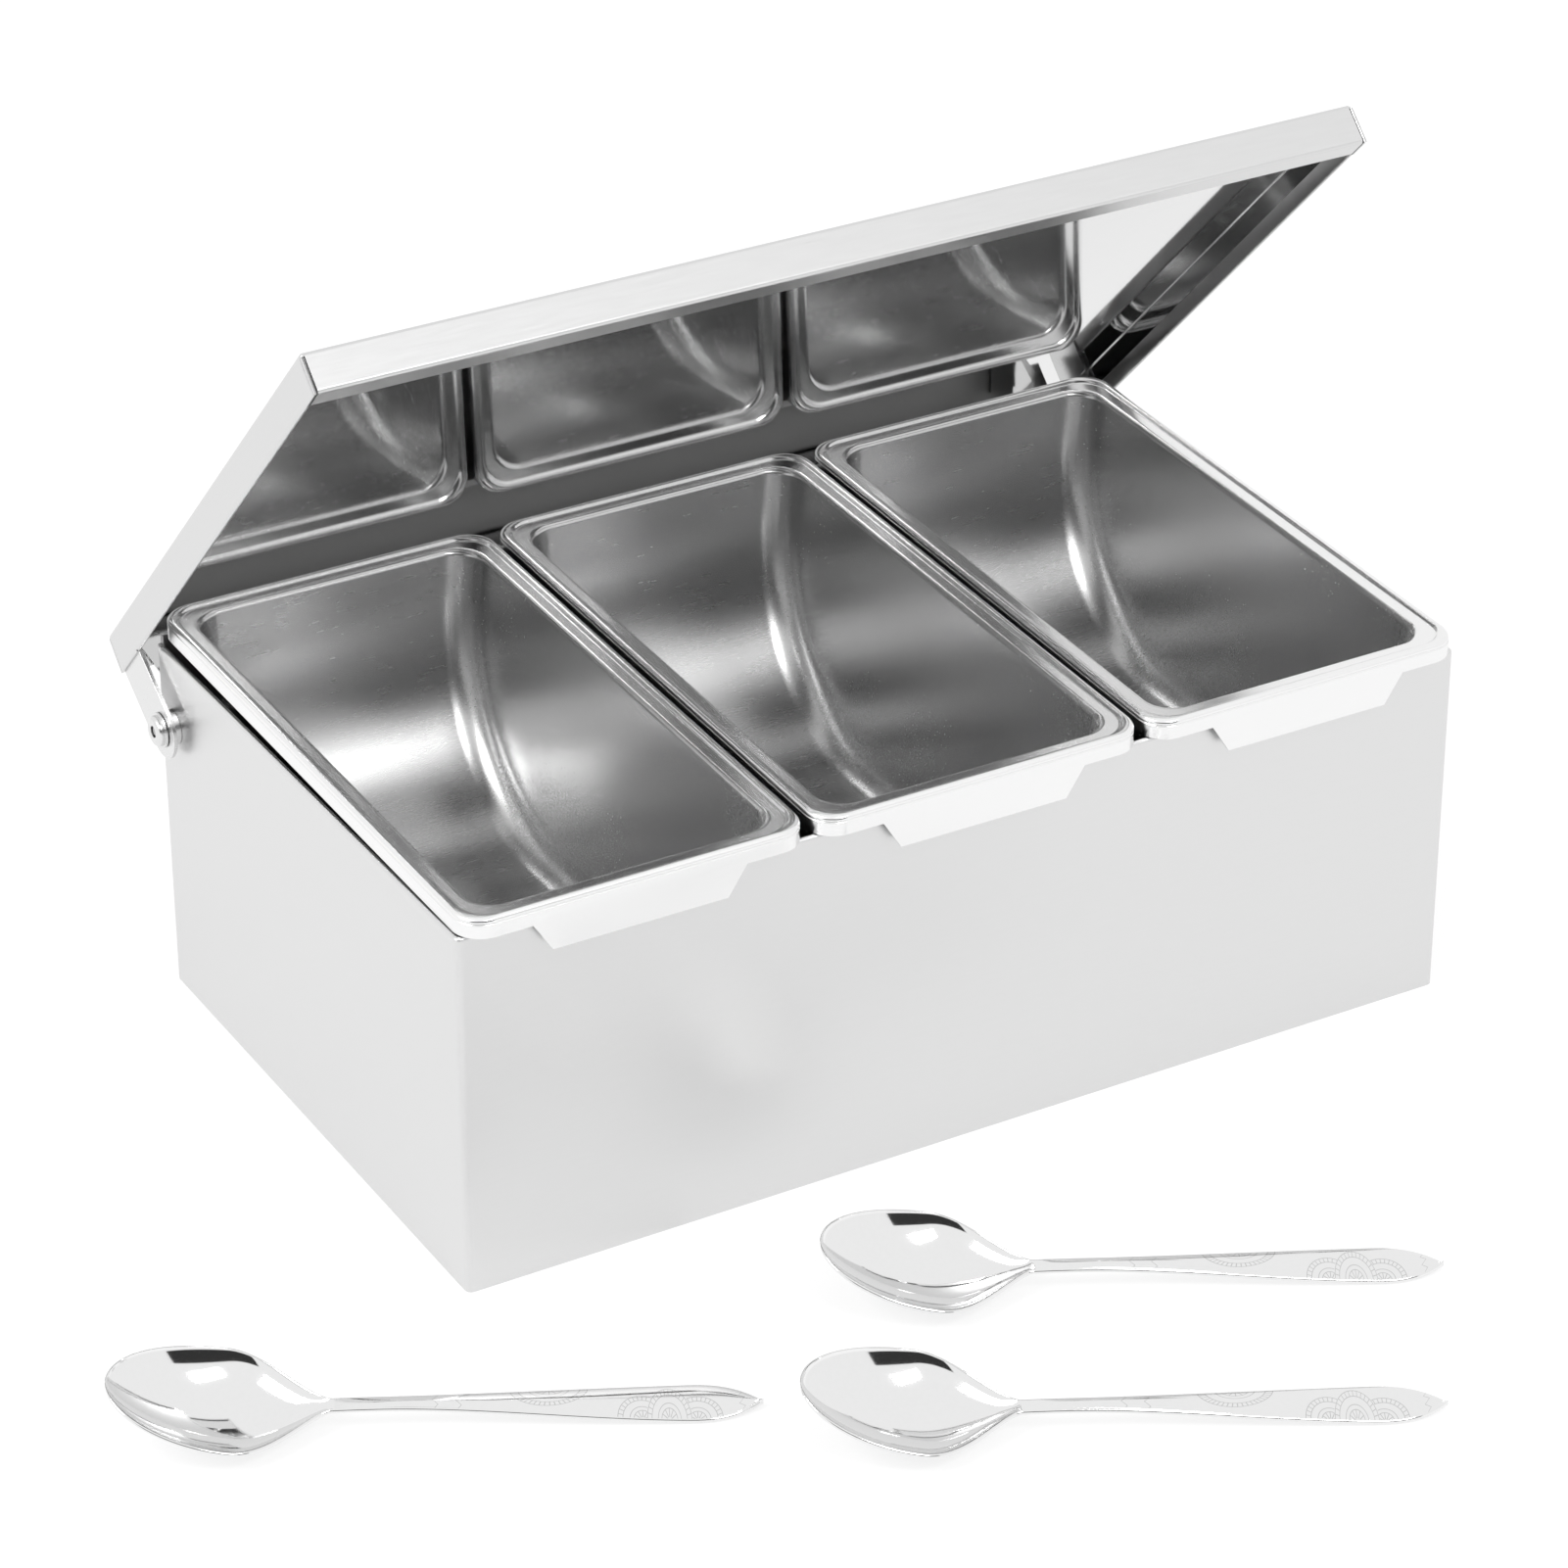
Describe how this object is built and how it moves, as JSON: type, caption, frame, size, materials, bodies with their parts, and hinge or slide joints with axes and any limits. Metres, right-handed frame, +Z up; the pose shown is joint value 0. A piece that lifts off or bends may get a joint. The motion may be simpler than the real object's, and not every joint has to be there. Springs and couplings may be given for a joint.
{
  "type": "condiment caddy",
  "caption": "Countertop condiment caddy: open sheet-metal box with lift-out scoop-bottomed pans, a shallow tray lid hinged on riveted side arms, and loose serving spoons beside it.",
  "frame": {"origin": "middle of the underside of the box, on the surface it stands on", "axes": "+X right as seen from the front, +Y to the back where the lid is hinged, +Z up"},
  "size_m": [0.4402, 0.39, 0.2536],
  "materials": {
    "box_sheet": "satin stainless sheet with a fine horizontal grain",
    "lid_sheet": "satin stainless outside, mirror-polished underside",
    "hinge_steel": "plain stainless",
    "pin_steel": "dull steel",
    "pan_sheet": "satin pressed stainless with a bright rolled rim",
    "spoon_steel": "polished bowl, engraved handle"
  },
  "bodies": {
    "box": {"body_shell": "box_sheet", "back_panel": "box_sheet", "bottom_plate": "box_sheet", "rivet_left": "hinge_steel", "rivet_right": "hinge_steel", "rivet_pin_left": "pin_steel", "rivet_pin_right": "pin_steel", "outer_washer_left": "hinge_steel", "outer_washer_right": "hinge_steel", "spacer_left": "hinge_steel", "spacer_right": "hinge_steel", "backing_washer_left": "hinge_steel", "backing_washer_right": "hinge_steel"},
    "lid": {"lid_shell": "lid_sheet", "lid_rear_strip": "lid_sheet", "hinge_arm_left": "hinge_steel", "hinge_arm_right": "hinge_steel"},
    "left_pan": {"pan_left": "pan_sheet"},
    "middle_pan": {"pan_middle": "pan_sheet"},
    "right_pan": {"pan_right": "pan_sheet"},
    "left_spoon": {"spoon_left": "spoon_steel"},
    "right_spoon": {"spoon_right": "spoon_steel"},
    "rear_spoon": {"spoon_rear": "spoon_steel"}
  },
  "joints": [
    {"name": "lid_hinge", "type": "hinge", "parent": "box", "child": "lid", "pos_m": [0, 0.0849, 0.0895], "axis": [-1, 0, 0], "range_deg": [-47.5, 58]},
    {"name": "left_pan_lift", "type": "slide", "parent": "box", "child": "left_pan", "axis": [0, 0, 1], "range_m": [0, 0.003]},
    {"name": "middle_pan_lift", "type": "slide", "parent": "box", "child": "middle_pan", "axis": [0, 0, 1], "range_m": [0, 0.003]},
    {"name": "right_pan_lift", "type": "slide", "parent": "box", "child": "right_pan", "axis": [0, 0, 1], "range_m": [0, 0.003]},
    {"name": "left_spoon_lift", "type": "slide", "parent": "box", "child": "left_spoon", "axis": [0, 0, 1], "range_m": [0, 0.15]},
    {"name": "right_spoon_lift", "type": "slide", "parent": "box", "child": "right_spoon", "axis": [0, 0, 1], "range_m": [0, 0.15]},
    {"name": "rear_spoon_lift", "type": "slide", "parent": "box", "child": "rear_spoon", "axis": [0, 0, 1], "range_m": [0, 0.15]}
  ]
}
